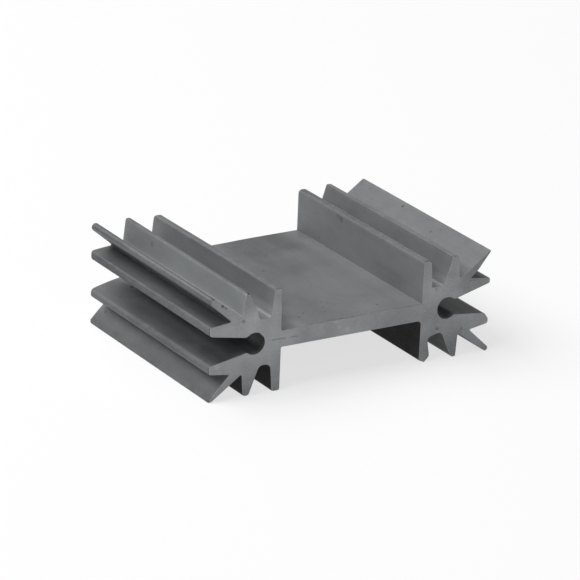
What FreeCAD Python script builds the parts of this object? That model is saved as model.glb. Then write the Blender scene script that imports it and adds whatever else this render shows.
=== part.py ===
import FreeCAD, Part
import math
import os
from dataclasses import dataclass
from FreeCAD import Vector

# The part is one extruded aluminium bar, sawn to length: a flat plate with a block of splayed fins along
# each side. X runs across the section, Y along the extrusion and Z upwards, and the origin is the middle.
# All sizes are in millimetres and all angles in degrees.

# Bar
LENGTH = 25.4
HEIGHT = 11.2
PLATE_THICKNESS = 1.8

# Device channel, the clear space over and under the plate between the two inner fins
CHANNEL_WIDTH = 16.84
CHANNEL_DRAFT = 0.6
CHANNEL_CORNER_RADIUS = 0.15

# Fin block, measured outwards from the foot of the channel wall
BLOCK_WIDTH = 8.38
INNER_FIN_FOOT = 1.2
INNER_FIN_TIP = 0.95
INNER_VALLEY_WIDTH = 1.3
SECOND_FIN_FOOT = 2.05
SECOND_FIN_TIP = 0.72
SECOND_FIN_REACH = 4.38
CORNER_FIN_FOOT = 1.4
CORNER_FIN_TIP = 0.56

# Heights above the middle of the plate
INNER_VALLEY_HEIGHT = 2.5
SECOND_VALLEY_HEIGHT = 2.97
NOTCH_HEIGHT = 2.88
OUTER_FIN_BACK = 2.53

# Roundings of the fin tips and of the valleys between the fins
INNER_TIP_EDGE_RADIUS = 0.1
INNER_TIP_RADIUS = 0.35
SECOND_TIP_RADIUS = 0.27
OUTER_TIP_BACK_RADIUS = 0.22
OUTER_TIP_RADIUS = 0.38
INNER_VALLEY_RADIUS = 0.38
SECOND_VALLEY_RADIUS = 0.13
NOTCH_RADIUS = 0.1

# Pin groove along each side: a round channel that opens outwards between two lips
GROOVE_DIAMETER = 2.38
GROOVE_SETBACK = 3.1
LIP_OVERHANG = 0.32
LIP_RADIUS = 0.55
MOUTH_FLARE = 10.5

# Two quarters of the section depart from the others. In the upper right one the outer fins run out thin,
# and in the lower right one the inner fin is waisted at its foot and the tips are rounder
UPPER_RIGHT_CORNER_FIN_FOOT = 1.5
UPPER_RIGHT_CORNER_FIN_TIP = 0.12
UPPER_RIGHT_OUTER_FIN_BACK = 2.36
UPPER_RIGHT_OUTER_TIP_RADIUS = 0.14
UPPER_RIGHT_MOUTH_FLARE = 15.5
LOWER_RIGHT_CHANNEL_CORNER_RADIUS = 0.4
LOWER_RIGHT_INNER_FIN_FOOT = 0.8
LOWER_RIGHT_INNER_FIN_TIP = 1.05
LOWER_RIGHT_INNER_FOOT_HEIGHT = 2.95
LOWER_RIGHT_INNER_VALLEY_RADIUS = 0.6
LOWER_RIGHT_INNER_TIP_RADIUS = 0.45
LOWER_RIGHT_SECOND_TIP_RADIUS = 0.42
LOWER_RIGHT_OUTER_TIP_RADIUS = 0.6

# A rounding takes at most this share of each side that it joins
SIDE_SHARE = 0.49

# Places worked out from the sizes
WALL = CHANNEL_WIDTH / 2
SIDE = WALL + BLOCK_WIDTH
TOP = HEIGHT / 2
PLATE_FACE = PLATE_THICKNESS / 2
SECOND_FIN_START = WALL + INNER_FIN_FOOT + INNER_VALLEY_WIDTH
SECOND_FIN_END = SECOND_FIN_START + SECOND_FIN_FOOT
GROOVE_RADIUS = GROOVE_DIAMETER / 2
GROOVE_CENTRE = Vector(WALL + GROOVE_SETBACK, 0, 0)


@dataclass(frozen=True)
class Corner:
    """A corner of the outline: its distance out from the middle, its height and its rounding."""
    out: float
    height: float
    radius: float

    def point(self):
        """The corner's place in the section."""
        return Vector(self.out, 0, self.height)


@dataclass(frozen=True)
class Quarter:
    """One quarter of the section, with the sizes in which the four quarters may differ."""
    side: int
    level: int
    channel_corner_radius: float = CHANNEL_CORNER_RADIUS
    inner_fin_foot: float = INNER_FIN_FOOT
    inner_fin_tip: float = INNER_FIN_TIP
    inner_foot_height: float = INNER_VALLEY_HEIGHT
    inner_valley_radius: float = INNER_VALLEY_RADIUS
    inner_tip_edge_radius: float = INNER_TIP_EDGE_RADIUS
    inner_tip_radius: float = INNER_TIP_RADIUS
    second_tip_radius: float = SECOND_TIP_RADIUS
    corner_fin_foot: float = CORNER_FIN_FOOT
    corner_fin_tip: float = CORNER_FIN_TIP
    outer_fin_back: float = OUTER_FIN_BACK
    outer_tip_radius: float = OUTER_TIP_RADIUS
    mouth_flare: float = MOUTH_FLARE


QUARTERS = (
    Quarter(side=-1, level=1),
    Quarter(side=-1, level=-1),
    Quarter(
        side=1,
        level=1,
        corner_fin_foot=UPPER_RIGHT_CORNER_FIN_FOOT,
        corner_fin_tip=UPPER_RIGHT_CORNER_FIN_TIP,
        outer_fin_back=UPPER_RIGHT_OUTER_FIN_BACK,
        outer_tip_radius=UPPER_RIGHT_OUTER_TIP_RADIUS,
        mouth_flare=UPPER_RIGHT_MOUTH_FLARE,
    ),
    Quarter(
        side=1,
        level=-1,
        channel_corner_radius=LOWER_RIGHT_CHANNEL_CORNER_RADIUS,
        inner_fin_foot=LOWER_RIGHT_INNER_FIN_FOOT,
        inner_fin_tip=LOWER_RIGHT_INNER_FIN_TIP,
        inner_foot_height=LOWER_RIGHT_INNER_FOOT_HEIGHT,
        inner_valley_radius=LOWER_RIGHT_INNER_VALLEY_RADIUS,
        inner_tip_edge_radius=LOWER_RIGHT_INNER_TIP_RADIUS,
        inner_tip_radius=LOWER_RIGHT_INNER_TIP_RADIUS,
        second_tip_radius=LOWER_RIGHT_SECOND_TIP_RADIUS,
        outer_tip_radius=LOWER_RIGHT_OUTER_TIP_RADIUS,
    ),
)


def channel_and_inner_fin(quarter):
    """Corners from the plate's face up the channel wall and down to the foot of the inner fin."""
    wall_tip = WALL + (TOP - PLATE_FACE) * math.tan(math.radians(CHANNEL_DRAFT))
    return [
        Corner(WALL, PLATE_FACE, quarter.channel_corner_radius),
        Corner(wall_tip, TOP, quarter.inner_tip_edge_radius),
        Corner(wall_tip + quarter.inner_fin_tip, TOP, quarter.inner_tip_radius),
        Corner(WALL + quarter.inner_fin_foot, quarter.inner_foot_height, INNER_VALLEY_RADIUS),
    ]


def second_fin(quarter):
    """Corners of the second fin, which leans outwards inside and stands upright outside."""
    tip = WALL + SECOND_FIN_REACH
    return [
        Corner(SECOND_FIN_START, INNER_VALLEY_HEIGHT, quarter.inner_valley_radius),
        Corner(tip - SECOND_FIN_TIP, TOP, quarter.second_tip_radius),
        Corner(tip, TOP, SECOND_TIP_RADIUS),
    ]


def valley_corner():
    """Corner of the valley between the second fin and the corner fin."""
    return Corner(SECOND_FIN_END, SECOND_VALLEY_HEIGHT, SECOND_VALLEY_RADIUS)


def notch_corner(quarter):
    """Corner of the notch between the corner fin and the outer fin."""
    return Corner(SECOND_FIN_END + quarter.corner_fin_foot, NOTCH_HEIGHT, NOTCH_RADIUS)


def touch_point(corner, centre, radius, turn):
    """Point where a line from the corner touches a circle, on the side that turn gives as 1 or -1."""
    away = corner.point() - centre
    angle = math.atan2(away.z, away.x) + turn * math.acos(radius / away.Length)
    return centre + Vector(math.cos(angle), 0, math.sin(angle)) * radius


def corner_fin_tip(quarter):
    """Start, middle and end of the corner fin's round tip, which touches both sides of the envelope."""
    radius = quarter.corner_fin_tip / 2
    centre = Vector(SIDE - radius, 0, TOP - radius)
    start = touch_point(valley_corner(), centre, radius, -1)
    end = touch_point(notch_corner(quarter), centre, radius, 1)
    middle = centre + ((start - centre) + (end - centre)).normalize() * radius
    return start, middle, end


def lip_centre():
    """Centre of the lip's arc, which touches the groove's circle from outside."""
    height = GROOVE_RADIUS - LIP_OVERHANG + LIP_RADIUS
    out = math.sqrt((GROOVE_RADIUS + LIP_RADIUS) ** 2 - height ** 2)
    return GROOVE_CENTRE + Vector(out, 0, height)


def mouth_start(quarter):
    """Point where the lip's arc runs into the flared side of the mouth."""
    flare = math.radians(quarter.mouth_flare)
    return lip_centre() + Vector(math.sin(flare), 0, -math.cos(flare)) * LIP_RADIUS


def outer_fin_tip(quarter):
    """Corners of the outer fin's tip, on the side of the section's envelope."""
    start = mouth_start(quarter)
    mouth_height = start.z + (SIDE - start.x) * math.tan(math.radians(quarter.mouth_flare))
    return [
        Corner(SIDE, quarter.outer_fin_back, OUTER_TIP_BACK_RADIUS),
        Corner(SIDE, mouth_height, quarter.outer_tip_radius),
    ]


def line(start, end):
    """Straight edge between two points."""
    return Part.LineSegment(start, end).toShape()


def arc(start, middle, end):
    """Arc through three points."""
    return Part.Arc(start, middle, end).toShape()


def rounded_chain(start, corners, end):
    """Edges from start past the corners to end, with a tangent arc at each rounded corner."""
    points = [start] + [corner.point() for corner in corners] + [end]
    edges = []
    here = start
    for index, corner in enumerate(corners, start=1):
        point = points[index]
        back = points[index - 1] - point
        ahead = points[index + 1] - point
        half_angle = back.getAngle(ahead) / 2
        longest_trim = SIDE_SHARE * min(back.Length, ahead.Length)
        trim = min(corner.radius / math.tan(half_angle), longest_trim)
        radius = trim * math.tan(half_angle)
        arc_start = point + back.normalize() * trim
        arc_end = point + ahead.normalize() * trim
        bisector = (back + ahead).normalize()
        arc_middle = point + bisector * (radius / math.sin(half_angle) - radius)
        edges.append(line(here, arc_start))
        edges.append(arc(arc_start, arc_middle, arc_end))
        here = arc_end
    edges.append(line(here, end))
    return edges


def lip_and_groove(quarter):
    """The lip's arc and the groove's arc, from the mouth to the groove's innermost point."""
    lip = lip_centre()
    start = mouth_start(quarter)
    meeting = GROOVE_CENTRE + (lip - GROOVE_CENTRE).normalize() * GROOVE_RADIUS
    lip_middle = lip + ((start - lip) + (meeting - lip)).normalize() * LIP_RADIUS
    innermost = GROOVE_CENTRE - Vector(GROOVE_RADIUS, 0, 0)
    to_middle = ((meeting - GROOVE_CENTRE) + (innermost - GROOVE_CENTRE)).normalize()
    groove_middle = GROOVE_CENTRE + to_middle * GROOVE_RADIUS
    return [arc(start, lip_middle, meeting), arc(meeting, groove_middle, innermost)]


def quarter_outline(quarter):
    """One quarter of the outline, from the middle of the plate's face to the groove, in its place."""
    start = Vector(0, 0, PLATE_FACE)
    tip_start, tip_middle, tip_end = corner_fin_tip(quarter)
    upright_fins = channel_and_inner_fin(quarter) + second_fin(quarter) + [valley_corner()]
    outer_fin = [notch_corner(quarter)] + outer_fin_tip(quarter)
    edges = rounded_chain(start, upright_fins, tip_start)
    edges.append(arc(tip_start, tip_middle, tip_end))
    edges += rounded_chain(tip_end, outer_fin, mouth_start(quarter))
    edges += lip_and_groove(quarter)
    outline = Part.Compound(edges)
    if quarter.side < 0:
        outline = outline.mirror(Vector(0, 0, 0), Vector(1, 0, 0))
    if quarter.level < 0:
        outline = outline.mirror(Vector(0, 0, 0), Vector(0, 0, 1))
    return outline


def heat_sink():
    """The whole section carried along the length of the bar."""
    edges = [edge for quarter in QUARTERS for edge in quarter_outline(quarter).Edges]
    outline = Part.Wire(Part.sortEdges(edges)[0])
    section = Part.Face(outline)
    section.translate(Vector(0, -LENGTH / 2, 0))
    return section.extrude(Vector(0, LENGTH, 0)).removeSplitter()


os.makedirs("parts", exist_ok=True)
heat_sink().exportStep("parts/heat_sink.step")
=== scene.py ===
import logging
import math
import operator
from dataclasses import dataclass
from enum import Enum
from functools import reduce

import bpy
import numpy as np
from mathutils import Matrix, Vector


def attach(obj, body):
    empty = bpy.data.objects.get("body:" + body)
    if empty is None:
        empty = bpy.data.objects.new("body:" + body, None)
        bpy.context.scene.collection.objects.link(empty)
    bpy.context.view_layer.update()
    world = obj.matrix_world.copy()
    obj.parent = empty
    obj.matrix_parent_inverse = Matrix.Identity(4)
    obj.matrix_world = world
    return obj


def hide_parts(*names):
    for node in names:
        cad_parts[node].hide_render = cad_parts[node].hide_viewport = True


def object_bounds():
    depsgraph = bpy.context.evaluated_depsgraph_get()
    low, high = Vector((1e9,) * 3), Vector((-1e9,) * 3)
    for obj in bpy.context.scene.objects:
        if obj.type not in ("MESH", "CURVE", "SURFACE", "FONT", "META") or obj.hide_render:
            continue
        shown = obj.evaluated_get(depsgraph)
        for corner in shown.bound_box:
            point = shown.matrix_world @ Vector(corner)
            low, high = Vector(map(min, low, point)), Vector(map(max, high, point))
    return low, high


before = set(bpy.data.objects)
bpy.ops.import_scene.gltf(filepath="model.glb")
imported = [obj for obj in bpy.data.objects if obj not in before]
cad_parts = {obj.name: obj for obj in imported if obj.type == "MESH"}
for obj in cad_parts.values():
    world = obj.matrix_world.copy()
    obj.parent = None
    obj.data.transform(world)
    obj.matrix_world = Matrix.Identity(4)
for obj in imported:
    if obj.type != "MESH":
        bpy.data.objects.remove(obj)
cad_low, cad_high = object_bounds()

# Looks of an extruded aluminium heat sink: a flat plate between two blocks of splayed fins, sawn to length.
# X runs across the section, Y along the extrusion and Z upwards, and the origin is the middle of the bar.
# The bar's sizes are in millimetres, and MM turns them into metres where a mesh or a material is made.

log = logging.getLogger("heat_sink")

Array = np.ndarray
Colour = tuple[float, float, float, float]
Material = bpy.types.Material
Pair = tuple[float, float]
Place = tuple[float, float, float]
Socket = bpy.types.NodeSocket

NODE = "heat_sink"
BODY = "root"

MM = 0.001
SIDE = cad_high.x / MM
TOP = cad_high.z / MM
HALF_LENGTH = cad_high.y / MM

# Points on each arc of the section, and the limits that keep its line sound
FILLET_STEPS = 6
LIP_STEPS = 10
GROOVE_STEPS = 20
SIDE_SHARE = 0.49
SAME_POINT = 1e-4
NO_LENGTH = 1e-12

# A range along the bar that goes past a sawn face, and one that goes past both
FAR = 99.0
WHOLE = (-FAR, FAR)

# Where a fin starts to bend, as a share of the bar's half length, and how far a rounded crest fades, in radii
BEND_START = -0.3
CREST_FADE = 3.0

# How unevenly the sawn edge is broken: the height, pace and start of each sine along the outline
EDGE_WAVES = ((0.14, 0.31, 0.0), (0.1, 0.83, 1.3), (0.06, 1.9, 0.4))
EDGE_WEAR = 0.15
SAWN_RINGS = 2

# The core of a speck and of a scratch, as shares of the radius, how much of a scratch fades at each end, and
# how deep a speck goes, as a share of the relief
SPECK_CORE = 0.35
SCRATCH_CORE = 0.3
SCRATCH_FADE = 0.1
SPECK_DEPTH = 1.5

# The colour sockets of a Mix node, and the middle of a noise
MIX_SHARE, MIX_FIRST, MIX_SECOND, MIX_RESULT = 0, 6, 7, 2
MIDDLE = 0.5

# The rays that show the background: those of the camera, of gloss and of glass
BACKGROUND_RAYS = ("Is Camera Ray", "Is Glossy Ray", "Is Transmission Ray")


class Side(Enum):
    """Which side of the plate a quarter of the section stands on."""

    LEFT = -1
    RIGHT = 1


class Level(Enum):
    """Whether a quarter of the section is above or below the plate's middle."""

    UPPER = 1
    LOWER = -1


class Surface(Enum):
    """Material index of each kind of surface on the bar."""

    SKIN = 0
    SAWN = 1


@dataclass(frozen=True)
class Corner:
    """A corner of the section: how far out, how high, and the radius that rounds it."""

    out: float
    height: float
    radius: float = 0.0

    @property
    def point(self) -> Array:
        """The corner's place in the section."""
        return np.array([self.out, self.height])


def placed(name: str, data: bpy.types.ID) -> bpy.types.Object:
    """Makes an object and puts it in the scene.

    Args:
        name: The object's name.
        data: Its mesh, light or camera.

    Returns:
        The object.
    """
    made = bpy.data.objects.new(name, data)
    bpy.context.scene.collection.objects.link(made)
    return made


def unit(vectors: Array) -> Array:
    """Gives each row the length one."""
    return vectors / np.maximum(np.linalg.norm(vectors, axis=-1, keepdims=True), NO_LENGTH)


def smooth_step(low: float | Array, high: float | Array, values: Array) -> Array:
    """Rises from 0 at low to 1 at high as 3t squared minus 2t cubed, flat at both ends."""
    share = np.clip((values - low) / (high - low), 0.0, 1.0)
    return share * share * (3.0 - 2.0 * share)


def arc(centre: Array, start: Array, end: Array, steps: int) -> Array:
    """Points on the shorter arc from start to end.

    The two spokes are blended by sin((1 - t) a) and sin(t a) over sin(a), where a is the angle between them.

    Args:
        centre: Its centre, shaped (..., 2).
        start: Its start, shaped (..., 2).
        end: Its end, shaped (..., 2).
        steps: Number of points.

    Returns:
        The points, shaped (..., steps, 2).
    """
    first, last = start - centre, end - centre
    cosine = np.sum(unit(first) * unit(last), axis=-1)
    angle = np.arccos(np.clip(cosine, -1.0, 1.0))[..., None, None]
    share = np.linspace(0.0, 1.0, steps)[:, None]
    blend = np.sin((1 - share) * angle) * first[..., None, :] + np.sin(share * angle) * last[..., None, :]
    return centre[..., None, :] + blend / np.sin(angle)


def rounded(corners: list[Corner]) -> Array:
    """A line past the given corners, each inner one rounded by an arc that touches both of its sides.

    Each arc starts radius / tan(half the angle) before its corner, at most a share of the shorter side.

    Args:
        corners: The corners in order; the first and the last stay as they are.

    Returns:
        The points of the line, shaped (n, 2).
    """
    points = np.array([corner.point for corner in corners])
    radii = np.array([corner.radius for corner in corners[1:-1]])
    middle = points[1:-1]
    back, ahead = points[:-2] - middle, points[2:] - middle
    shorter = np.minimum(np.linalg.norm(back, axis=1), np.linalg.norm(ahead, axis=1))
    back, ahead = unit(back), unit(ahead)
    half = np.arccos(np.clip(np.sum(back * ahead, axis=1), -1.0, 1.0)) / 2
    trim = np.minimum(radii / np.tan(half), SIDE_SHARE * shorter)
    reach = trim / np.cos(half)
    centre = middle + unit(back + ahead) * reach[:, None]
    start, end = middle + back * trim[:, None], middle + ahead * trim[:, None]
    arcs = arc(centre, start, end, FILLET_STEPS).reshape(-1, 2)
    return np.vstack([points[:1], arcs, points[-1:]])


def evened(points: Array, spacing: float) -> Array:
    """Divides every side of a closed line that is longer than the spacing, and drops points that coincide.

    Args:
        points: Points of the closed line, shaped (n, 2).
        spacing: Longest side left whole.

    Returns:
        Points of the divided line, shaped (m, 2), the first not repeated at the end.
    """
    ahead = np.roll(points, -1, axis=0) - points
    points = points[np.linalg.norm(ahead, axis=1) > SAME_POINT]
    ahead = np.roll(points, -1, axis=0) - points
    parts = np.maximum(1, np.ceil(np.linalg.norm(ahead, axis=1) / spacing)).astype(int)
    side = np.repeat(np.arange(len(points)), parts)
    step = np.arange(parts.sum()) - np.repeat(np.cumsum(parts) - parts, parts)
    share = step / parts[side]
    return points[side] + ahead[side] * share[:, None]


@dataclass(frozen=True)
class Groove:
    """The round pin groove in the side of a fin block, with the lips and the mouth that it opens through.

    lip_overhang is the lip's reach over the groove, and flare the slope of the mouth's side in degrees.
    """

    out: float = 11.52
    radius: float = 1.19
    lip_overhang: float = 0.32
    lip_radius: float = 0.55
    flare: float = 10.5

    @property
    def centre(self) -> Array:
        """Centre of the round channel."""
        return np.array([self.out, 0.0])

    @property
    def lip_centre(self) -> Array:
        """Centre of the lip's arc, one groove radius and one lip radius from the groove's centre."""
        height = self.radius - self.lip_overhang + self.lip_radius
        return np.array([self.out + math.sqrt((self.radius + self.lip_radius) ** 2 - height**2), height])

    @property
    def mouth_start(self) -> Array:
        """Where the lip's arc runs into the flared side of the mouth."""
        flare = math.radians(self.flare)
        return self.lip_centre + self.lip_radius * np.array([math.sin(flare), -math.cos(flare)])

    def mouth_height(self, out: float) -> float:
        """Height of the mouth's flared side at a distance out."""
        return self.mouth_start[1] + (out - self.mouth_start[0]) * math.tan(math.radians(self.flare))

    def outline(self) -> Array:
        """The lip's arc and the groove's arc, which meet on the line between their centres.

        Returns:
            Points from the mouth to the groove's innermost point, shaped (n, 2).
        """
        meeting = self.centre + unit(self.lip_centre - self.centre) * self.radius
        innermost = self.centre - np.array([self.radius, 0.0])
        lip = arc(self.lip_centre, self.mouth_start, meeting, LIP_STEPS)
        return np.vstack([lip, arc(self.centre, meeting, innermost, GROOVE_STEPS)])


@dataclass(frozen=True)
class Spine:
    """A fin's middle line from its root to its crest, and how far the fin reaches to either side of it."""

    root: Pair
    crest: Pair
    reach: float


INNER = Spine((9.02, 2.5), (8.95, TOP), 0.85)
SECOND = Spine((11.95, 2.7), (12.44, TOP), 1.2)
CORNER = Spine((13.7, 3.1), (SIDE - 0.1, TOP - 0.1), 1.0)
OUTER = Spine((13.9, 1.95), (SIDE, 2.1), 0.9)


@dataclass(frozen=True)
class Fin:
    """A fin, and how it departs from a straight one along the bar.

    short cuts the fin all along. Towards the back end back_lean and back_drop move its tip sideways and down,
    and back_swell is the share by which it grows thicker. The two roundings are the radii of its crest at
    the sawn ends, seen from the side.
    """

    spine: Spine
    short: float = 0.0
    back_drop: float = 0.0
    back_lean: float = 0.0
    back_swell: float = 0.0
    front_rounding: float = 0.12
    back_rounding: float = 0.3

    def shares(self, section: Array, signs: Array) -> tuple[Array, Array, Array]:
        """How far up the fin each point of the section is, and how far to its side.

        Args:
            section: Points of the section, shaped (n, 2).
            signs: The signs of the fin's quarter.

        Returns:
            The share of the fin's length, 0 off the fin and 1 at its tip, and the distance below the tip,
            both shaped (n,), and the way from the middle line to the point, shaped (n, 2).
        """
        local = section * signs
        root, crest = np.array(self.spine.root), np.array(self.spine.crest)
        length = np.linalg.norm(crest - root)
        axis = (crest - root) / length
        along = (local - root) @ axis
        across = local - root - along[:, None] * axis
        inside = (np.linalg.norm(across, axis=1) < self.spine.reach) & (local[:, 0] > 0) & (local[:, 1] > 0)
        share = np.where(inside, np.clip(along / length, 0.0, 1.0), 0.0)
        return share, np.where(inside, length - along, length), across * signs

    def shift(self, section: Array, signs: Array, along_bar: Array) -> Array:
        """How far the fin moves each point, at each place along the bar.

        The crest sinks by r - sqrt(r squared - d squared) at the distance d into a rounding of the radius r,
        and this fades out a few radii below the crest.

        Args:
            section: Points of the section, shaped (n, 2).
            signs: The signs of the fin's quarter.
            along_bar: Places along the bar, shaped (s,).

        Returns:
            The movement in the section, shaped (s, n, 2).
        """
        share, below, aside = self.shares(section, signs)
        axis = unit(np.array(self.spine.crest) - np.array(self.spine.root)) * signs
        across, down = signs * (1.0, 0.0), signs * (0.0, -1.0)
        towards_back = smooth_step(BEND_START * HALF_LENGTH, HALF_LENGTH, along_bar)[:, None, None]
        bent = (share**2)[None, :, None] * towards_back
        moved = bent * (self.back_drop * down + self.back_lean * across + self.back_swell * aside)
        moved = moved - self.short * share[None, :, None] * axis
        for end, radius in ((-1, self.front_rounding), (1, self.back_rounding)):
            into = np.clip(end * along_bar - (HALF_LENGTH - radius), 0.0, radius)
            sink = radius - np.sqrt(radius**2 - into**2)
            near_tip = np.clip(1.0 - below / (CREST_FADE * radius), 0.0, 1.0) * (share > 0)
            moved = moved - (sink[:, None] * near_tip[None, :])[..., None] * axis
        return moved


@dataclass(frozen=True)
class Quarter:
    """One quarter of the section, drawn outwards and upwards from the middle of the bar.

    Its outline runs from the middle of the plate's face over its four fins to the innermost point of the
    pin groove.
    """

    side: Side
    level: Level
    wall: Corner = Corner(8.42, 0.9, 0.15)
    inner_tip: tuple[Corner, ...] = (Corner(8.47, TOP, 0.12), Corner(9.42, TOP, 0.35))
    inner_foot: Corner = Corner(9.62, 2.5, 0.38)
    second_foot: Corner = Corner(10.92, 2.5, 0.38)
    second_tip: tuple[Corner, ...] = (Corner(12.08, TOP, 0.27), Corner(12.8, TOP, 0.27))
    valley: Corner = Corner(12.97, 2.97, 0.13)
    corner_tip: Corner = Corner(SIDE - 0.28, TOP - 0.28, 0.28)
    corner_bend: tuple[Corner, ...] = ()
    notch: tuple[Corner, ...] = (Corner(14.37, 2.88, 0.1),)
    outer_back: Corner = Corner(SIDE, 2.53, 0.22)
    outer_tip: tuple[Corner, ...] = ()
    outer_tip_radius: float = 0.38
    groove: Groove = Groove()
    fins: tuple[Fin, ...] = (Fin(INNER), Fin(SECOND), Fin(CORNER), Fin(OUTER))

    @property
    def signs(self) -> Array:
        """Signs that turn the quarter's own coordinates into the section's, and back."""
        return np.array([self.side.value, self.level.value])

    def corner_tip_arc(self) -> Array:
        """The corner fin's round tip, between the tangents from the corners below it on both flanks.

        Returns:
            Points from the inner flank to the outer flank, shaped (n, 2).
        """
        tip, radius = self.corner_tip.point, self.corner_tip.radius
        last = self.corner_bend[-1] if self.corner_bend else self.notch[0]
        ends = []
        for neighbour, turn in ((self.valley, -1), (last, 1)):
            away = neighbour.point - tip
            angle = math.atan2(away[1], away[0]) + turn * math.acos(radius / np.linalg.norm(away))
            ends.append(tip + radius * np.array([math.cos(angle), math.sin(angle)]))
        return arc(tip, ends[0], ends[1], FILLET_STEPS)

    def outline(self) -> Array:
        """The quarter's outline, in its place in the section.

        Returns:
            The points, shaped (n, 2).
        """
        tip = self.corner_tip_arc()
        mouth = Corner(*self.groove.mouth_start)
        outermost = self.outer_back.out
        square_tip = Corner(outermost, self.groove.mouth_height(outermost), self.outer_tip_radius)
        outer_tip = self.outer_tip or (square_tip,)
        inner = [Corner(0.0, self.wall.height), self.wall, *self.inner_tip, self.inner_foot, self.second_foot]
        inner += [*self.second_tip, self.valley, Corner(*tip[0])]
        outer = [Corner(*tip[-1]), *reversed(self.corner_bend), *self.notch, self.outer_back]
        outer += [*outer_tip, mouth]
        points = np.vstack([rounded(inner), tip, rounded(outer), self.groove.outline()])
        return points * self.signs


@dataclass(frozen=True)
class Dent:
    """A knock in the bar: its centre, its radius and how deep it goes into the metal, in millimetres."""

    place: Place
    radius: float
    depth: float


@dataclass(frozen=True)
class PaintedShadingPatch:
    """A box of painted light or painted shade on the skin, lighter or darker than the rest, with soft sides,
    in mm.

    across, height and along are the box's ranges on X, Z and Y. Its sides on X and Z fade over twice soft,
    and those on Y over twice soft_along.
    """

    across: Pair
    height: Pair
    soft: Pair
    change: float
    along: Pair = WHOLE
    soft_along: float = 3.0

    def share(self, points: Array) -> Array:
        """How far inside the box each point is: the product, over the axes, of a smooth rise past each side.

        Args:
            points: Places on the skin, shaped (..., 3).

        Returns:
            From 0 outside the box to 1 inside it, shaped (...).
        """
        low, high = np.array([self.across, self.along, self.height]).T
        soft = np.array([self.soft[0], self.soft_along, self.soft[1]])
        past_low, past_high = (smooth_step(side - soft, side + soft, points) for side in (low, high))
        return (past_low * (1.0 - past_high)).prod(axis=-1)


QUARTERS = (
    Quarter(
        Side.RIGHT, Level.UPPER, wall=Corner(8.42, 0.9, 0.05),
        inner_tip=(Corner(8.47, TOP, 0.28), Corner(9.42, TOP, 0.42)), inner_foot=Corner(9.58, 2.55, 0.15),
        second_tip=(Corner(12.06, TOP, 0.14), Corner(12.7, TOP, 0.34)),
        corner_tip=Corner(SIDE - 0.14, TOP - 0.09, 0.06), corner_bend=(Corner(15.2, 3.62, 0.3),),
        notch=(Corner(14.5, 3.02, 0.12), Corner(14.3, 2.86, 0.1)),
        outer_back=Corner(SIDE - 0.08, 2.5, 0.15), outer_tip_radius=0.14, groove=Groove(flare=15.0),
        fins=(
            Fin(INNER, back_drop=0.04), Fin(SECOND, back_lean=-0.07, back_rounding=0.12),
            Fin(CORNER, short=0.03, back_rounding=0.12), Fin(OUTER),
        ),
    ),
    Quarter(
        Side.RIGHT, Level.LOWER, wall=Corner(8.36, 0.9, 0.4),
        inner_tip=(Corner(8.27, 5.26, 0.25), Corner(8.96, TOP, 0.08), Corner(9.55, 4.98, 0.4)),
        inner_foot=Corner(9.22, 2.95, 0.5), second_foot=Corner(10.92, 2.5, 0.55),
        second_tip=(Corner(11.98, 5.12, 0.5), Corner(12.4, TOP, 0.3), Corner(12.78, TOP, 0.15)),
        outer_back=Corner(SIDE - 0.12, 2.5, 0.25),
        outer_tip=(Corner(SIDE - 0.12, 2.02, 0.35), Corner(16.2, 1.31, 0.6)), groove=Groove(flare=6.9),
    ),
    Quarter(
        Side.LEFT, Level.LOWER, inner_tip=(Corner(8.47, TOP, 0.2), Corner(9.42, TOP, 0.32)),
        inner_foot=Corner(9.62, 2.5, 0.62), second_foot=Corner(10.92, 2.5, 0.62),
        second_tip=(Corner(12.12, TOP, 0.36), Corner(12.82, TOP, 0.4)), valley=Corner(12.97, 3.08, 0.13),
        corner_tip=Corner(SIDE - 0.18, TOP - 0.18, 0.18),
        fins=(
            Fin(INNER), Fin(SECOND, short=0.06),
            Fin(CORNER, back_swell=0.3, front_rounding=0.3, back_rounding=0.25),
            Fin(OUTER, back_drop=-0.08, back_swell=-0.15, back_rounding=0.25),
        ),
    ),
    Quarter(
        Side.LEFT, Level.UPPER, inner_tip=(Corner(8.47, TOP, 0.2), Corner(9.28, TOP, 0.2)),
        second_foot=Corner(10.92, 2.5, 0.15), second_tip=(Corner(12.2, TOP, 0.25), Corner(12.68, TOP, 0.2)),
        corner_tip=Corner(SIDE - 0.36, TOP - 0.36, 0.36), notch=(Corner(14.25, 2.79, 0.1),),
        outer_back=Corner(SIDE, 2.53, 0.28), groove=Groove(lip_overhang=0.38),
        fins=(
            Fin(INNER, short=0.13, back_drop=0.1, back_rounding=0.32),
            Fin(SECOND, short=0.04, front_rounding=0.2, back_rounding=0.15),
            Fin(CORNER, back_swell=0.2, front_rounding=0.25), Fin(OUTER, back_rounding=0.2),
        ),
    ),
)
DENTS = tuple(Dent(*row) for row in (
    ((-12.7, -12.6, 5.6), 0.24, 0.16), ((-12.1, -12.7, 5.5), 0.2, 0.08),
    ((-16.75, -12.5, 5.5), 0.3, 0.14), ((-16.7, -11.2, 5.5), 0.26, 0.05),
    ((-16.7, -9.3, 5.5), 0.3, 0.05), ((-12.75, -10.8, 5.5), 0.25, 0.05),
    ((-16.8, -0.1, -2.0), 0.4, 0.07), ((8.9, -8.3, 5.6), 0.3, 0.05),
    ((8.46, 3.88, 4.92), 0.22, 0.06), ((-6.4, 12.7, 0.9), 3.0, 0.15),
    ((-1.5, 12.7, 0.9), 2.8, 0.07), ((-10.65, -12.6, 0.85), 0.22, -0.07),
))
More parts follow.
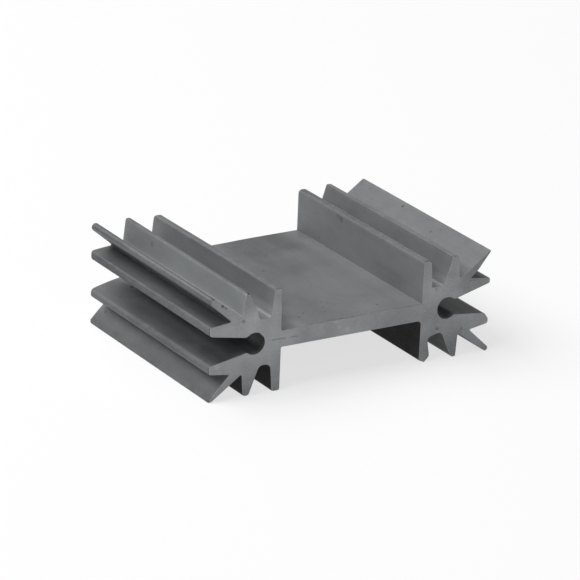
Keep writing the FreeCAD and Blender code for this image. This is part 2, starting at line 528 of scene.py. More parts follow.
# Painted light and painted shade on the skin, as across, height, soft, change, along and soft_along: each row
# lightens or darkens the tone in a box, such as painted deep shade in the lower gaps, painted light on shaded
# gap floors and valleys at the front, and painted light against the contact shadow at the wall's foot.
PAINTED_SHADING_PATCHES = tuple(PaintedShadingPatch(*row) for row in (
    ((-13.4, -12.5), (3.1, 5.45), (0.08, 0.1), 0.28),
    ((-13.4, -12.5), (3.1, 5.45), (0.08, 0.1), 0.22, (-FAR, 6.0), 6.0),
    ((-9.75, -9.3), (2.6, 5.35), (0.08, 0.12), 0.2),
    ((-11.2, -9.2), (2.3, 3.5), (0.3, 0.4), 0.45, (-FAR, -8.5), 2.0),
    ((-13.1, -11.8), (5.5, 6.0), (0.1, 0.06), -0.1),
    ((-9.7, -8.3), (5.38, 6.0), (0.1, 0.05), -0.06),
    ((8.5, 9.7), (5.45, 6.0), (0.1, 0.06), -0.04),
    ((8.5, 9.7), (5.45, 6.0), (0.1, 0.06), -0.08, (0.0, FAR)),
    ((-17.0, -15.9), (4.8, 6.0), (0.1, 0.1), -0.08),
    ((-16.56, -15.9), (5.45, 6.0), (0.05, 0.06), -0.1),
    ((-16.78, -16.6), (5.42, 5.6), (0.04, 0.04), 0.13),
    ((-17.0, -16.6), (4.9, 5.15), (0.06, 0.06), 0.17),
    ((-17.0, -16.7), (5.2, 5.42), (0.06, 0.04), -0.06),
    ((-17.0, -16.5), (5.2, 5.6), (0.06, 0.06), -0.08, (5.0, FAR)),
    ((-16.5, -15.2), (2.4, 3.0), (0.25, 0.15), -0.12),
    ((-15.2, -14.3), (2.4, 3.0), (0.25, 0.15), -0.07),
    ((-15.9, -15.3), (2.4, 3.0), (0.3, 0.15), -0.08, (-FAR, -5.0)),
    ((-16.6, -14.9), (2.2, 3.0), (0.2, 0.15), 0.05, (-3.0, FAR)),
    ((-17.0, -16.5), (1.5, 2.6), (0.12, 0.1), -0.16, (-6.5, FAR)),
    ((-17.0, -16.1), (-2.7, -1.3), (0.2, 0.15), -0.05),
    ((-17.0, -16.1), (-2.7, -1.3), (0.2, 0.15), -0.08, (-7.0, 5.0)),
    ((-15.0, -13.5), (-2.1, -0.8), (0.5, 0.2), -0.03, (8.0, FAR), 2.0),
    ((-16.3, -14.5), (-2.1, -0.8), (0.5, 0.2), -0.06),
    ((-16.3, -14.5), (-2.1, -0.8), (0.5, 0.2), -0.08, (-FAR, 5.0)),
    ((-14.6, -12.2), (-2.1, -0.6), (1.0, 0.2), 0.28, (-9.0, 11.0)),
    ((-13.8, -12.2), (-1.6, -0.6), (0.3, 0.2), 0.2, (-FAR, -8.5), 2.0),
    ((-13.5, -12.4), (-1.6, -0.6), (0.4, 0.2), 0.36, (-9.0, FAR)),
    ((-16.0, -14.5), (-2.1, -0.8), (0.4, 0.2), -0.06, (-FAR, 6.0)),
    ((-17.0, -15.8), (-6.0, -4.6), (0.5, 0.5), -0.15),
    ((-15.7, -14.3), (-4.2, -2.8), (0.4, 0.3), 0.18),
    ((-12.9, -12.0), (5.0, 6.0), (0.1, 0.1), -0.15, (-FAR, -12.2), 0.3),
    ((-10.8, -9.3), (-5.6, -2.4), (0.15, 0.1), -0.6),
    ((-13.3, -12.5), (-5.5, -2.8), (0.08, 0.1), -0.6),
    ((-12.4, -10.2), (-1.3, 1.3), (0.2, 0.2), 0.04),
    ((-12.3, -11.0), (-1.3, -0.6), (0.2, 0.15), 0.3),
    ((-10.9, -10.2), (-0.8, 0.9), (0.15, 0.2), -0.2, (-FAR, -11.0), 1.0),
    ((-8.6, 8.6), (0.8, 1.0), (0.1, 0.05), 0.04),
    ((2.0, 8.6), (0.8, 1.0), (1.5, 0.05), 0.06, (-FAR, 6.0), 5.0),
    ((7.2, 8.6), (0.8, 1.0), (0.8, 0.05), 0.08),
    ((-1.2, 3.6), (0.8, 1.0), (1.0, 0.05), -0.1, (1.0, FAR), 1.5),
    ((-1.0, 6.2), (0.8, 1.0), (1.0, 0.05), -0.06, (7.0, FAR), 1.5),
    ((-8.6, -1.5), (0.8, 1.0), (0.8, 0.05), -0.05, (-8.0, FAR)),
    ((-8.6, -5.5), (0.8, 1.0), (0.8, 0.05), 0.3, (-FAR, -10.5), 1.0),
    ((6.8, 8.6), (0.8, 1.0), (0.5, 0.05), 0.08, (5.5, 10.5), 1.5),
    ((3.8, 5.9), (0.8, 1.0), (0.8, 0.05), -0.12, (7.5, FAR), 1.2),
    ((6.3, 8.6), (0.8, 1.0), (0.5, 0.05), 0.05, (-4.0, 5.0), 1.5),
    ((-1.0, 8.4), (0.8, 1.0), (1.0, 0.05), 0.04, (-FAR, -9.0), 2.0),
    ((-6.4, -4.0), (0.8, 1.0), (0.6, 0.05), 0.08, (-FAR, -7.0), 1.0),
    ((8.3, 8.6), (1.0, 5.45), (0.08, 0.06), 0.2),
    ((8.3, 8.6), (1.0, 4.6), (0.08, 0.5), 0.04, (-6.0, 8.0)),
    ((8.1, 8.6), (-5.7, -1.0), (0.08, 0.2), -0.34),
    ((8.3, 8.6), (1.0, 2.8), (0.08, 0.3), -0.12, (-8.5, -2.5), 1.5),
    ((10.2, 12.4), (-1.3, 1.3), (0.2, 0.2), 0.1),
    ((10.9, 12.2), (2.5, 5.5), (0.2, 0.3), 0.05),
    ((13.2, 16.6), (2.5, 5.5), (0.2, 0.2), 0.04),
    ((12.4, 14.6), (2.6, 4.4), (0.2, 0.4), 0.03, (-FAR, -7.0), 2.5),
    ((12.4, 14.0), (2.6, 3.5), (0.2, 0.2), 0.4, (-FAR, -9.5), 1.5),
    ((9.4, 11.4), (2.2, 3.1), (0.2, 0.25), 0.6, (-FAR, -9.5), 1.5),
    ((10.9, 12.2), (2.6, 3.9), (0.2, 0.2), 0.16, (-FAR, -11.0), 1.0),
    ((10.6, 11.7), (2.4, 3.3), (0.2, 0.2), 0.15, (-FAR, -10.8), 1.0),
    ((14.0, 16.5), (2.1, 3.0), (0.3, 0.15), -0.38),
    ((15.9, 17.0), (2.2, 3.0), (0.2, 0.2), 0.45, (-FAR, -10.8), 0.9),
    ((13.5, 16.5), (-2.3, -0.7), (0.3, 0.2), -0.06),
))


@dataclass(frozen=True)
class Bar:
    """The extruded bar: its section, carried along Y and closed by the two sawn faces.

    spacing is the section's longest side, stations the number of places along the bar, crowding how much they
    crowd to its ends, and tone how light the skin is, which the patches of painted light and shade change.
    """

    name: str = "heat_sink_bar"
    spacing: float = 0.42
    stations: int = 92
    crowding: float = 0.55
    edge_radius: float = 0.04
    edge_steps: int = 4
    crest_depth: float = 0.3
    tone: float = 0.419
    quarters: tuple[Quarter, ...] = QUARTERS
    dents: tuple[Dent, ...] = DENTS
    patches: tuple[PaintedShadingPatch, ...] = PAINTED_SHADING_PATCHES

    def section(self) -> tuple[Array, Array]:
        """The closed section, clockwise as the front shows it, and its outward normals.

        Every other quarter is turned round, so that the outline goes once about the bar.

        Returns:
            Points and normals, both shaped (n, 2).
        """
        upper_right, lower_right, lower_left, upper_left = (quarter.outline() for quarter in self.quarters)
        outline = np.vstack([upper_right, lower_right[::-1], lower_left, upper_left[::-1]])
        points = evened(outline, self.spacing)
        ahead = unit(np.roll(points, -1, axis=0) - points)
        along = unit(ahead + np.roll(ahead, 1, axis=0))
        return points, np.stack([-along[:, 1], along[:, 0]], axis=1)

    def path(self) -> tuple[Array, Array]:
        """Places along the bar and how far the section is drawn in there.

        Stations crowd towards the ends as (1 - c) t + c sin(t pi / 2). The last ones break the sawn edge by a
        quarter circle: drawn in by r (1 - cos a) at the place r (1 - sin a) from the end.

        Returns:
            Places in millimetres and insets as shares of the edge radius, both shaped (s,).
        """
        share = np.linspace(-1.0, 1.0, self.stations)
        inner = HALF_LENGTH - self.edge_radius
        places = inner * ((1 - self.crowding) * share + self.crowding * np.sin(share * math.pi / 2))
        angle = np.linspace(0.0, math.pi / 2, self.edge_steps)[1:]
        edge_places = inner + self.edge_radius * np.sin(angle)
        edge_insets = 1.0 - np.cos(angle)
        along = np.concatenate([-edge_places[::-1], places, edge_places])
        insets = np.concatenate([edge_insets[::-1], np.zeros(self.stations), edge_insets])
        return along, insets

    def bent(self, section: Array, along: Array) -> tuple[Array, Array]:
        """How the fins move the section along the bar, and how near its points are to a fin's crest.

        Args:
            section: Points of the section, shaped (n, 2).
            along: Places along the bar, shaped (s,).

        Returns:
            The movement in the section, shaped (s, n, 2), and 0 below the crests to 1 on them, shaped (n,).
        """
        moved = np.zeros((len(along), *section.shape))
        crest = np.zeros(len(section))
        for quarter in self.quarters:
            for fin in quarter.fins:
                moved += fin.shift(section, quarter.signs, along)
                share, below, _ = fin.shares(section, quarter.signs)
                near = np.where(share > 0, 1.0 - smooth_step(0.0, self.crest_depth, below), 0.0)
                crest = np.maximum(crest, near)
        return moved, crest

    def dented(self, points: Array, inward: Array) -> tuple[Array, Array]:
        """Sinks each dent by its depth times exp(-(distance / radius) squared).

        Args:
            points: Points of the skin, shaped (s, n, 3).
            inward: The way into the metal at each point of the section, shaped (n, 3).

        Returns:
            The moved points, and how much of a dent is at each, from 0 to 1, shaped (s, n).
        """
        knocked = np.zeros(points.shape[:2])
        for dent in self.dents:
            distance = np.linalg.norm(points - np.array(dent.place), axis=-1)
            share = np.exp(-((distance / dent.radius) ** 2))
            points = points + (dent.depth * share)[..., None] * inward
            knocked = np.maximum(knocked, share)
        return points, knocked

    def skin(self) -> tuple[Array, Array, Array]:
        """The bar's surface as a grid, with its wear and its tone.

        Each point is the section's point, less the inset along its normal, plus the shifts of the fins, sunk
        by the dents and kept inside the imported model's box. The inset waves as a sum of sines of its number.

        Returns:
            Points shaped (s, n, 3) in millimetres, and the wear and the tone from 0 to 1, both shaped (s, n).
        """
        section, normals = self.section()
        along, insets = self.path()
        number = np.arange(len(section))
        wave = 1.0 + sum(height * np.sin(pace * number + start) for height, pace, start in EDGE_WAVES)
        inset = self.edge_radius * insets[:, None] * wave
        moved, crest = self.bent(section, along)
        flat = section[None] - inset[..., None] * normals[None] + moved
        places = np.broadcast_to(along[:, None], flat.shape[:2])
        points = np.stack([flat[..., 0], places, flat[..., 1]], axis=-1)
        inward = -np.stack([normals[:, 0], np.zeros(len(normals)), normals[:, 1]], axis=-1)
        points, knocked = self.dented(points, inward)
        wear = np.maximum(np.maximum(crest[None], (insets > 0)[:, None] * EDGE_WEAR), knocked)
        wear[[0, -1]] = 0.0
        # The tone carries painted light and shade: the patches raise or lower it where light or shade falls.
        tone = self.tone + sum(patch.change * patch.share(points) for patch in self.patches)
        limit = np.array([SIDE, HALF_LENGTH, TOP])
        return np.clip(points, -limit, limit), wear, np.clip(tone, 0.0, 1.0)

    def build(self, skin: Material, sawn: Material) -> bpy.types.Object:
        """Makes the bar's mesh: the grid's faces, closed round the section, and one face at each end.

        Args:
            skin: Material of the extruded surface.
            sawn: Material of the sawn faces and their edges.

        Returns:
            The bar.
        """
        points, wear, tone = self.skin()
        rows, columns = wear.shape
        index = np.arange(rows * columns).reshape(rows, columns)
        right = np.roll(index, -1, axis=1)
        quads = np.stack([index[:-1], right[:-1], right[1:], index[1:]], axis=-1).reshape(-1, 4)
        corners = np.concatenate([quads.ravel(), index[0, ::-1], index[-1]])
        starts = np.concatenate([np.arange(len(quads)) * 4, len(quads) * 4 + np.array([0, columns])])
        ring = np.arange(rows - 1)
        beside_cut = (ring < SAWN_RINGS) | (ring >= rows - 1 - SAWN_RINGS)
        surface = np.where(np.repeat(beside_cut, columns), Surface.SAWN.value, Surface.SKIN.value)
        surface = np.append(surface, [Surface.SAWN.value] * 2)
        smooth = np.append(np.ones(len(quads), bool), [False, False])

        mesh = bpy.data.meshes.new(self.name)
        mesh.vertices.add(rows * columns)
        mesh.vertices.foreach_set("co", (points * MM).ravel())
        mesh.loops.add(len(corners))
        mesh.loops.foreach_set("vertex_index", corners)
        mesh.polygons.add(len(starts))
        mesh.polygons.foreach_set("loop_start", starts)
        mesh.polygons.foreach_set("material_index", surface)
        mesh.polygons.foreach_set("use_smooth", smooth)
        mesh.update(calc_edges=True)
        # The tone attribute holds the patches' painted light and shade as well as the skin's own tone.
        for name, values in (("wear", wear), ("tone", tone)):
            mesh.attributes.new(name, "FLOAT", "POINT").data.foreach_set("value", values.ravel())
        mesh.materials.append(skin)
        mesh.materials.append(sawn)
        log.info("%s: %d faces", self.name, len(mesh.polygons))
        return placed(self.name, mesh)


class Value:
    """A number that varies over a surface: a socket whose sums and products add Math nodes."""

    def __init__(self, graph: "Graph", socket: Socket) -> None:
        """Keeps the graph and the socket."""
        self.graph = graph
        self.socket = socket

    def __add__(self, other: "Value | float") -> "Value":
        """This plus another."""
        return self.graph.math("ADD", self, other)

    __radd__ = __add__

    def __sub__(self, other: "Value | float") -> "Value":
        """This less another."""
        return self.graph.math("SUBTRACT", self, other)

    def __rsub__(self, other: float) -> "Value":
        """A number less this."""
        return self.graph.math("SUBTRACT", other, self)

    def __mul__(self, other: "Value | float") -> "Value":
        """This times another."""
        return self.graph.math("MULTIPLY", self, other)

    __rmul__ = __mul__

    def highest(self, other: "Value | float") -> "Value":
        """The larger of this and another."""
        return self.graph.math("MAXIMUM", self, other)

    def rise(self, low: float, high: float) -> "Value":
        """From 0 at low to 1 at high, smooth at both ends."""
        inputs = {"Value": self, "From Min": low, "From Max": high}
        return self.graph.value("ShaderNodeMapRange", {"interpolation_type": "SMOOTHSTEP"}, inputs, "Result")


@dataclass(frozen=True)
class Pattern:
    """Soft noise: its waves per millimetre on each axis, its finer layers, and its share of each effect."""

    waves: Place
    detail: float
    tone: float = 0.0
    rough: float = 0.0
    relief: float = 0.0


class Graph:
    """The node tree of a material or a world, with the calls that add to it."""

    def __init__(self, owner: Material | bpy.types.World) -> None:
        """Starts with an empty tree.

        Args:
            owner: The material or world whose tree it is.
        """
        owner.use_nodes = True
        self.owner = owner
        self.tree = owner.node_tree
        self.tree.nodes.clear()

    def node(self, kind: str, settings: dict | None = None, inputs: dict | None = None) -> bpy.types.Node:
        """Adds one node.

        Args:
            kind: Type of the node.
            settings: Properties of the node, set before its sockets.
            inputs: Number, Value or socket for each input, by its name or number.

        Returns:
            The node.
        """
        made = self.tree.nodes.new(kind)
        for name, setting in (settings or {}).items():
            setattr(made, name, setting)
        for name, given in (inputs or {}).items():
            given = given.socket if isinstance(given, Value) else given
            if isinstance(given, Socket):
                self.tree.links.new(given, made.inputs[name])
            else:
                made.inputs[name].default_value = given
        return made

    def value(self, kind: str, settings: dict, inputs: dict, output: str | int = 0) -> Value:
        """Adds one node and gives one of its outputs as a number."""
        return Value(self, self.node(kind, settings, inputs).outputs[output])

    def math(self, operation: str, *numbers: Value | float) -> Value:
        """A Math node on one or two numbers."""
        return self.value("ShaderNodeMath", {"operation": operation}, dict(enumerate(numbers)))

    def vector(self, operation: str, inputs: dict) -> Socket:
        """A Vector Math node that gives a vector."""
        return self.node("ShaderNodeVectorMath", {"operation": operation}, inputs).outputs["Vector"]

    def measure(self, operation: str, first: Socket, second: tuple | Socket) -> Value:
        """A Vector Math node that gives a number."""
        return self.value("ShaderNodeVectorMath", {"operation": operation}, {0: first, 1: second}, "Value")

    def place(self) -> Socket:
        """Place on the object in millimetres."""
        metres = self.node("ShaderNodeTexCoord").outputs["Object"]
        return self.vector("SCALE", {0: metres, "Scale": 1 / MM})

    def noise(self, place: Socket, pattern: Pattern) -> Value:
        """Soft noise from 0 to 1."""
        waves = self.vector("MULTIPLY", {0: place, 1: pattern.waves})
        return self.value("ShaderNodeTexNoise", {}, {"Vector": waves, "Scale": 1.0, "Detail": pattern.detail})

    def attribute(self, name: str) -> Value:
        """A number kept on the mesh."""
        return self.value("ShaderNodeAttribute", {"attribute_name": name}, {}, "Fac")

    def mix(self, share: Value, first: tuple | Socket, second: tuple | Socket) -> Socket:
        """A colour that goes from the first to the second as share goes from 0 to 1."""
        inputs = {MIX_SHARE: share, MIX_FIRST: first, MIX_SECOND: second}
        return self.node("ShaderNodeMix", {"data_type": "RGBA"}, inputs).outputs[MIX_RESULT]

    def finish(self, inputs: dict, relief: Value, depth: float) -> Material:
        """Ends a material's tree with a bump and a shader.

        Args:
            inputs: Inputs of the shader.
            relief: Height of the surface's texture, from 0 to 1.
            depth: Height of a relief of 1, in metres.

        Returns:
            The material.
        """
        bump = self.node("ShaderNodeBump", {}, {"Height": relief, "Distance": depth})
        shader = self.node("ShaderNodeBsdfPrincipled", {}, {**inputs, "Normal": bump.outputs[0]})
        self.node("ShaderNodeOutputMaterial", {}, {"Surface": shader.outputs[0]})
        return self.owner


@dataclass(frozen=True)
class Speck:
    """A round mark on the metal: its place and radius in millimetres, and how strong it is."""

    place: Place
    radius: float
    strength: float

    def share(self, graph: Graph, place: Socket, core: float) -> Value:
        """The speck's strength, kept over the core's share of its radius and fading to 0 at its radius."""
        aside = graph.measure("DISTANCE", place, self.place)
        return (1.0 - aside.rise(core * self.radius, self.radius)) * self.strength


@dataclass(frozen=True)
class Scratch:
    """A straight fine line in the metal: its ends and half its width in millimetres, and how strong it is."""

    start: Place
    end: Place
    width: float
    strength: float

    def share(self, graph: Graph, place: Socket) -> Value:
        """The scratch's strength at each place: all of it on its line, and 0 beside it and past its ends.

        Args:
            graph: The tree to add to.
            place: Place in millimetres.

        Returns:
            The strength.
        """
        way = Vector(self.end) - Vector(self.start)
        length, direction = way.length, tuple(way.normalized())
        along = graph.vector("SUBTRACT", {0: place, 1: self.start})
        reach = graph.measure("DOT_PRODUCT", along, direction)
        foot = graph.vector("SCALE", {0: direction, "Scale": reach})
        aside = graph.measure("DISTANCE", along, foot)
        fade = SCRATCH_FADE * length
        inside = reach.rise(0.0, fade) * (1.0 - reach.rise(length - fade, length))
        return (1.0 - aside.rise(SCRATCH_CORE * self.width, self.width)) * inside * self.strength


def on_front(across: float, height: float, radius: float, strength: float) -> Speck:
    """A speck on the front sawn face."""
    return Speck((across, -HALF_LENGTH, height), radius, strength)


def painted_shading(graph: Graph, place: Socket, marks: tuple[Speck, ...]) -> Value:
    """The sum of wide soft marks of painted light and shade on the tone; a negative strength paints a darker
    one.
    """
    return reduce(operator.add, [mark.share(graph, place, 0.0) for mark in marks])


def specks(graph: Graph, place: Socket, marks: tuple[Speck, ...]) -> Value:
    """The strongest of the marks at each place."""
    return reduce(Value.highest, [mark.share(graph, place, SPECK_CORE) for mark in marks])


SKIN_PITS = tuple(Speck(*row) for row in (
    ((8.46, 4.08, 5.0), 0.38, 0.3), ((8.46, 3.72, 4.92), 0.46, 0.42),
    ((8.46, 4.55, 5.1), 0.24, 0.4), ((16.1, 10.4, 5.16), 0.2, 0.4),
    ((16.17, 3.8, 5.21), 0.26, 0.7), ((15.39, -3.03, 4.67), 0.22, 0.5),
    ((-12.87, 6.68, 4.58), 0.45, 0.3), ((-16.7, -0.1, -1.7), 0.3, 0.4),
    ((-13.49, 9.58, -1.04), 0.3, 0.7), ((-3.9, -9.36, 0.9), 0.2, 0.5),
    ((-0.6, -7.4, 0.9), 0.16, 0.4), ((-1.2, -8.8, 0.9), 0.2, 0.5),
    ((-1.7, -10.1, 0.9), 0.2, 0.5), ((-4.86, -10.17, 0.9), 0.2, 0.5),
    ((-1.2, -12.6, 0.9), 0.3, 0.6), ((0.0, -12.65, 0.9), 0.3, 0.5),
    ((7.0, -12.6, 0.9), 0.26, 0.5),
))
# Painted light and shade on the front sawn face: wide soft marks that lighten or darken it where light or
# shade falls across it.
SAWN_PAINTED_SHADING = tuple(on_front(*row) for row in (
    (-12.0, 1.0, 6.5, 0.26), (-12.6, 4.4, 1.8, -0.2), (-7.4, 0.0, 3.0, 0.14),
    (-15.6, 1.6, 2.6, 0.16), (-12.5, 5.5, 0.5, -0.3), (11.8, 4.0, 1.2, -0.08),
    (-9.0, -4.6, 2.0, 0.08), (-12.4, -3.4, 3.2, -0.09), (0.0, 0.0, 6.0, 0.12),
    (9.2, 2.6, 3.5, 0.15), (5.8, 0.1, 3.5, -0.2), (10.8, -0.9, 2.4, -0.15),
    (12.6, -4.6, 3.6, -0.32), (9.0, -4.2, 2.4, -0.15), (14.8, 2.6, 2.8, -0.25),
    (16.0, 5.0, 2.4, -0.35),
))
SAWN_PITS = tuple(on_front(*row) for row in (
    (-15.36, 4.67, 0.26, 0.8), (-15.0, 4.4, 0.2, 0.6), (-12.9, 2.65, 0.26, 0.5),
    (-12.6, 5.5, 0.25, 0.6), (10.09, 2.31, 0.22, 0.4), (10.37, -2.09, 0.25, 0.5),
    (13.4, -2.6, 0.22, 0.4), (16.5, 5.45, 0.4, 0.5),
))
SAWN_SCUFFS = (Speck((-16.3, -12.6, -4.8), 0.25, 1.0), *(on_front(*row) for row in (
    (-11.98, 4.5, 0.9, 0.4), (-11.2, 2.9, 0.8, 0.6), (-15.86, -1.76, 0.4, 0.7),
    (-10.65, 0.9, 0.3, 1.0), (-1.55, 0.12, 0.3, 0.8), (-0.6, -0.29, 0.3, 0.8),
    (-2.0, 0.8, 0.3, 0.8),
)))


@dataclass(frozen=True)
class ExtrudedSkin:
    """Matte aluminium as the die leaves it: faint lines along the bar, soft patches, worn crests and pits.

    Its tone goes from the dark colour at 0 to the light one at 1; the dark colour is near black for the
    painted deep shade in the gaps. A range holds the levels between which a noise rises from 0 to 1, and depth
    is the relief's, in metres.
    """

    # The dark end is near black, the colour of the painted deep shade where the patches take the tone to 0.
    dark: Colour = (0.013, 0.0125, 0.0115, 1.0)
    light: Colour = (0.288, 0.300, 0.308, 1.0)
    worn: Colour = (0.265, 0.275, 0.280, 1.0)
    pit: Colour = (0.035, 0.036, 0.036, 1.0)
    metallic: float = 0.2
    roughness: float = 0.55
    gloss: float = 0.08
    depth: float = 0.006 * MM
    lines: Pattern = Pattern((5.0, 0.05, 5.0), 3.0, tone=0.02, relief=0.06)
    bands: Pattern = Pattern((0.9, 0.03, 0.9), 2.0, tone=0.03, relief=0.06)
    grain: Pattern = Pattern((9.0, 6.0, 9.0), 2.0, tone=0.2, rough=0.1, relief=0.25)
    patches: Pattern = Pattern((0.16, 0.12, 0.16), 3.0, tone=0.2, rough=0.12)
    mottle: Pattern = Pattern((0.8, 0.5, 0.8), 2.0, tone=0.14)
    stray: Pattern = Pattern((1.6, 1.1, 1.6), 0.0)
    lumps: Pattern = Pattern((2.4, 0.9, 2.4), 4.0)
    line_range: Pair = (0.35, 0.65)
    worn_line_range: Pair = (0.4, 0.62)
    lump_range: Pair = (0.38, 0.66)
    stray_range: Pair = (0.17, 0.1)
    scratch_range: Pair = (0.3, 0.6)
    metal_range: Pair = (-0.12, 0.1)
    lump_share: float = 0.6
    worn_grain_share: float = 0.25
    wear_share: float = 0.16
    wear_shine: float = 0.08
    stray_share: float = 0.5
    pits: tuple[Speck, ...] = SKIN_PITS
    scratches: tuple[Scratch, ...] = (
        Scratch((-3.4, -12.3, 0.9), (1.8, -12.66, 0.9), 0.1, 0.5),
        Scratch((2.6, -12.2, 0.9), (6.0, -12.4, 0.9), 0.1, 0.4),
        Scratch((5.2, -12.5, 0.9), (8.3, -12.64, 0.9), 0.1, 0.5),
    )

    def material(self) -> Material:
        """Makes the material.

        Returns:
            The material; it reads the attributes wear and tone of the mesh.
        """
        graph = Graph(bpy.data.materials.new("extruded_skin"))
        place = graph.place()
        patterns = (self.lines, self.bands, self.grain, self.patches, self.mottle)
        lines, bands, grain, patches, mottle = (graph.noise(place, pattern) for pattern in patterns)
        worn = graph.attribute("wear")
        # The tone from the mesh carries the patches' painted light and shade.
        tone = graph.attribute("tone")
        for pattern, noise in zip(patterns, (lines.rise(*self.line_range), bands, grain, patches, mottle)):
            tone = tone + pattern.tone * (noise - MIDDLE)
        pits = specks(graph, place, self.pits)
        for mark in self.scratches:
            pits = pits.highest(mark.share(graph, place) * grain.rise(*self.scratch_range))
        stray = graph.noise(place, self.stray).rise(*self.stray_range)
        lumps = graph.noise(place, self.lumps).rise(*self.lump_range)
        wear = worn * (self.lump_share * lumps + (1.0 - self.lump_share) * lines.rise(*self.worn_line_range))
        colour = graph.mix(tone + self.worn_grain_share * worn * (grain - MIDDLE), self.dark, self.light)
        colour = graph.mix(wear * self.wear_share, colour, self.worn)
        colour = graph.mix(pits.highest(stray * self.stray_share), colour, self.pit)
        rough = self.roughness + self.patches.rough * (patches - MIDDLE)
        rough = rough + self.grain.rough * (grain - MIDDLE) - self.wear_shine * wear
        relief = self.lines.relief * lines + self.grain.relief * grain + self.bands.relief * bands
        inputs = {
            "Base Color": colour,
            "Roughness": rough,
            # Metallic fades out where the tone is lowest, in the painted deep shade, so that those gaps stay
            # dark.
            "Metallic": self.metallic * tone.rise(*self.metal_range),
            "Specular IOR Level": self.gloss,
        }
        return graph.finish(inputs, relief - SPECK_DEPTH * pits, self.depth)


@dataclass(frozen=True)
class SawnFace:
    """The sawn ends: lighter than the skin, with fine saw marks across, worn edges, a few dark spots, painted
    glints and soft painted light and shade.
    """

    dark: Colour = (0.172, 0.178, 0.181, 1.0)
    light: Colour = (0.455, 0.472, 0.486, 1.0)
    worn: Colour = (0.52, 0.54, 0.55, 1.0)
    pit: Colour = (0.06, 0.062, 0.065, 1.0)
    metallic: float = 0.2
    roughness: float = 0.52
    gloss: float = 0.08
    depth: float = 0.008 * MM
    marks: Pattern = Pattern((0.25, 1.0, 4.5), 3.0, tone=0.05, rough=0.1, relief=0.12)
    blotches: Pattern = Pattern((0.5, 0.5, 0.5), 3.0, tone=0.2, rough=0.12)
    grain: Pattern = Pattern((7.0, 7.0, 7.0), 2.0, tone=0.55, relief=0.4)
    # Noise for the painted glints.
    painted_glints: Pattern = Pattern((4.5, 4.5, 4.5), 1.0)
    seam_gaps: Pattern = Pattern((1.6, 1.0, 1.6), 1.0)
    mark_range: Pair = (0.25, 0.75)
    blotch_range: Pair = (0.3, 0.7)
    painted_glint_range: Pair = (0.64, 0.76)
    seam_range: Pair = (0.36, 0.52)
    scuff_range: Pair = (0.35, 0.6)
    wear_range: Pair = (0.3, 0.6)
    wear_share: float = 0.5
    painted_glint_share: float = 0.35
    seam: Scratch = Scratch((-10.2, -12.7, 0.07), (-6.2, -12.7, -0.02), 0.1, 0.4)
    seam_depth: float = 0.5
    painted_shading: tuple[Speck, ...] = SAWN_PAINTED_SHADING
    pits: tuple[Speck, ...] = SAWN_PITS
    scuffs: tuple[Speck, ...] = SAWN_SCUFFS

    def material(self) -> Material:
        """Makes the material.

        Returns:
            The material; it reads the attribute wear of the mesh.
        """
        graph = Graph(bpy.data.materials.new("sawn_face"))
        place = graph.place()
        patterns = (self.marks, self.blotches, self.grain)
        marks, blotches, grain = (graph.noise(place, pattern) for pattern in patterns)
        # Painted glints: bright specks of the worn colour where sawn grain would catch the light.
        painted_glints = graph.noise(place, self.painted_glints).rise(*self.painted_glint_range)
        seam = self.seam.share(graph, place) * graph.noise(place, self.seam_gaps).rise(*self.seam_range)
        pits = specks(graph, place, self.pits)
        scuffs = specks(graph, place, self.scuffs) * blotches.rise(*self.scuff_range)
        wear = graph.attribute("wear") * blotches.rise(*self.wear_range)
        noises = (marks.rise(*self.mark_range), blotches.rise(*self.blotch_range), grain)
        tone = MIDDLE
        for pattern, noise in zip(patterns, noises):
            tone = tone + pattern.tone * (noise - MIDDLE)
        # The sawn face's tone takes its painted light and shade here.
        colour = graph.mix(tone + painted_shading(graph, place, self.painted_shading), self.dark, self.light)
        # Real wear and scuffs, together with the painted glints, lighten the colour towards the worn one.
        wear_scuffs_and_painted_glints = (wear * self.wear_share).highest(scuffs * self.wear_share).highest(painted_glints * self.painted_glint_share)
        colour = graph.mix(wear_scuffs_and_painted_glints, colour, self.worn)
        rough = self.roughness + self.blotches.rough * (blotches - MIDDLE)
        rough = rough + self.marks.rough * (marks - MIDDLE)
        relief = self.marks.relief * marks + self.grain.relief * grain
        inputs = {
            "Base Color": graph.mix(pits.highest(seam), colour, self.pit),
            "Roughness": rough,
            "Metallic": self.metallic,
            "Specular IOR Level": self.gloss,
        }
        return graph.finish(inputs, relief - SPECK_DEPTH * pits - self.seam_depth * seam, self.depth)


@dataclass(frozen=True)
class SoftBox:
    """A studio lamp: a square soft light that points at the object."""

    name: str
    place: Place
    power: float
    size: float = 0.6

    def build(self) -> None:
        """Makes the lamp."""
        light = bpy.data.lights.new(self.name, "AREA")
        light.shape = "SQUARE"
        light.size = self.size
        light.energy = self.power
        lamp = placed(self.name, light)
        lamp.location = self.place
        lamp.rotation_euler = (-Vector(self.place)).to_track_quat("-Z", "Y").to_euler()


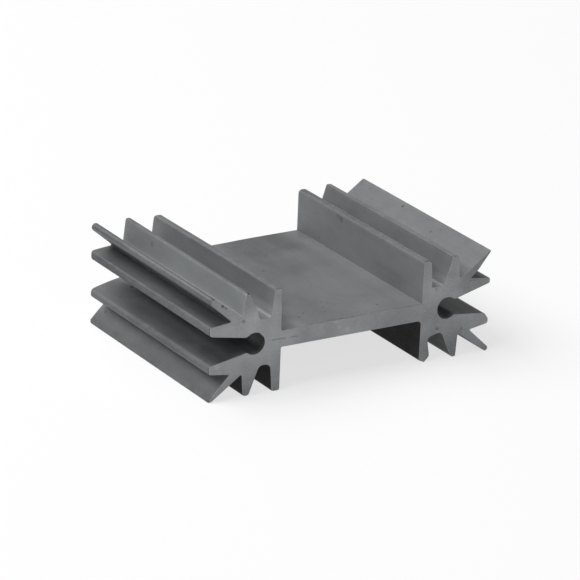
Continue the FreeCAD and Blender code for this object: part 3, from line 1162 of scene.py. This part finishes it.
@dataclass(frozen=True)
class Studio:
    """A white floor under soft light, and the camera at the photograph's viewing angle.

    The angles are in degrees, the camera's distance, aim, lens and sensor in millimetres, and the rest in
    metres.
    """

    floor_size: float = 3.0
    floor_colour: Colour = (0.96, 0.96, 0.96, 1.0)
    floor_glow: float = 0.7
    lamps: tuple[SoftBox, ...] = (
        SoftBox("left_box", (-0.5, 0.0, 0.77), 5.1),
        SoftBox("back_left_box", (-0.45, 0.45, 0.65), 4.05),
        SoftBox("back_box", (0.0, 0.65, 0.65), 2.3),
        SoftBox("front_box", (-0.2, -0.78, 0.45), 1.1),
    )
    azimuth: float = -31.156
    elevation: float = 20.468
    roll: float = 1.77
    distance: float = 449.3
    aim: Pair = (0.0869, -0.3524)
    lens: float = 266.45
    sensor: float = 36.0
    clip: Pair = (0.01, 10.0)

    def seen(self, graph: Graph) -> Value:
        """1 for the rays that show the background, and 0 for the others."""
        path = graph.node("ShaderNodeLightPath")
        return reduce(Value.highest, [Value(graph, path.outputs[name]) for name in BACKGROUND_RAYS])

    def build_floor(self) -> bpy.types.Object:
        """Makes the floor, which keeps the object's shadow and otherwise shows white.

        Returns:
            The floor.
        """
        graph = Graph(bpy.data.materials.new("white_floor"))
        plain = graph.node("ShaderNodeBsdfDiffuse", {}, {"Color": self.floor_colour})
        glow = graph.node("ShaderNodeEmission")
        share = self.seen(graph) * self.floor_glow
        both = graph.node("ShaderNodeMixShader", {}, {0: share, 1: plain.outputs[0], 2: glow.outputs[0]})
        graph.node("ShaderNodeOutputMaterial", {}, {"Surface": both.outputs[0]})
        half = self.floor_size / 2
        corners = [(x, y, cad_low.z) for x, y in ((-half, -half), (half, -half), (half, half), (-half, half))]
        mesh = bpy.data.meshes.new("floor")
        mesh.from_pydata(corners, [], [(0, 1, 2, 3)])
        mesh.materials.append(graph.owner)
        return placed("floor", mesh)

    def build_world(self) -> None:
        """Makes the world, which shows white and gives no light."""
        graph = Graph(bpy.data.worlds.new("studio"))
        inputs = {"Color": (1.0, 1.0, 1.0, 1.0), "Strength": self.seen(graph)}
        background = graph.node("ShaderNodeBackground", {}, inputs)
        graph.node("ShaderNodeOutputWorld", {}, {"Surface": background.outputs[0]})
        bpy.context.scene.world = graph.owner

    def build_camera(self) -> None:
        """Makes the camera: turned upright by the elevation, about the object by the azimuth, and rolled."""
        data = bpy.data.cameras.new("camera")
        data.lens = self.lens
        data.sensor_width = self.sensor
        data.clip_start, data.clip_end = self.clip
        turns = ((self.azimuth, "Z"), (90.0 - self.elevation, "X"), (self.roll, "Z"))
        steps = [Matrix.Rotation(math.radians(angle), 4, axis) for angle, axis in turns]
        steps.append(Matrix.Translation(Vector((*self.aim, self.distance)) * MM))
        camera = placed("camera", data)
        camera.matrix_world = reduce(operator.matmul, steps)
        bpy.context.scene.camera = camera

    def build(self) -> None:
        """Makes the floor, the world, the lamps and the camera."""
        self.build_floor()
        self.build_world()
        for lamp in self.lamps:
            lamp.build()
        self.build_camera()
        bpy.context.scene.view_settings.view_transform = "Standard"
        log.info("studio: floor, world, %d lamps and camera", len(self.lamps))


def main() -> None:
    """Builds the bar and the studio."""
    logging.basicConfig(level=logging.INFO, format="%(name)s: %(message)s")
    bar = Bar().build(ExtrudedSkin().material(), SawnFace().material())
    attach(bar, BODY)
    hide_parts(NODE)
    Studio().build()


if __name__ == "__main__":
    main()
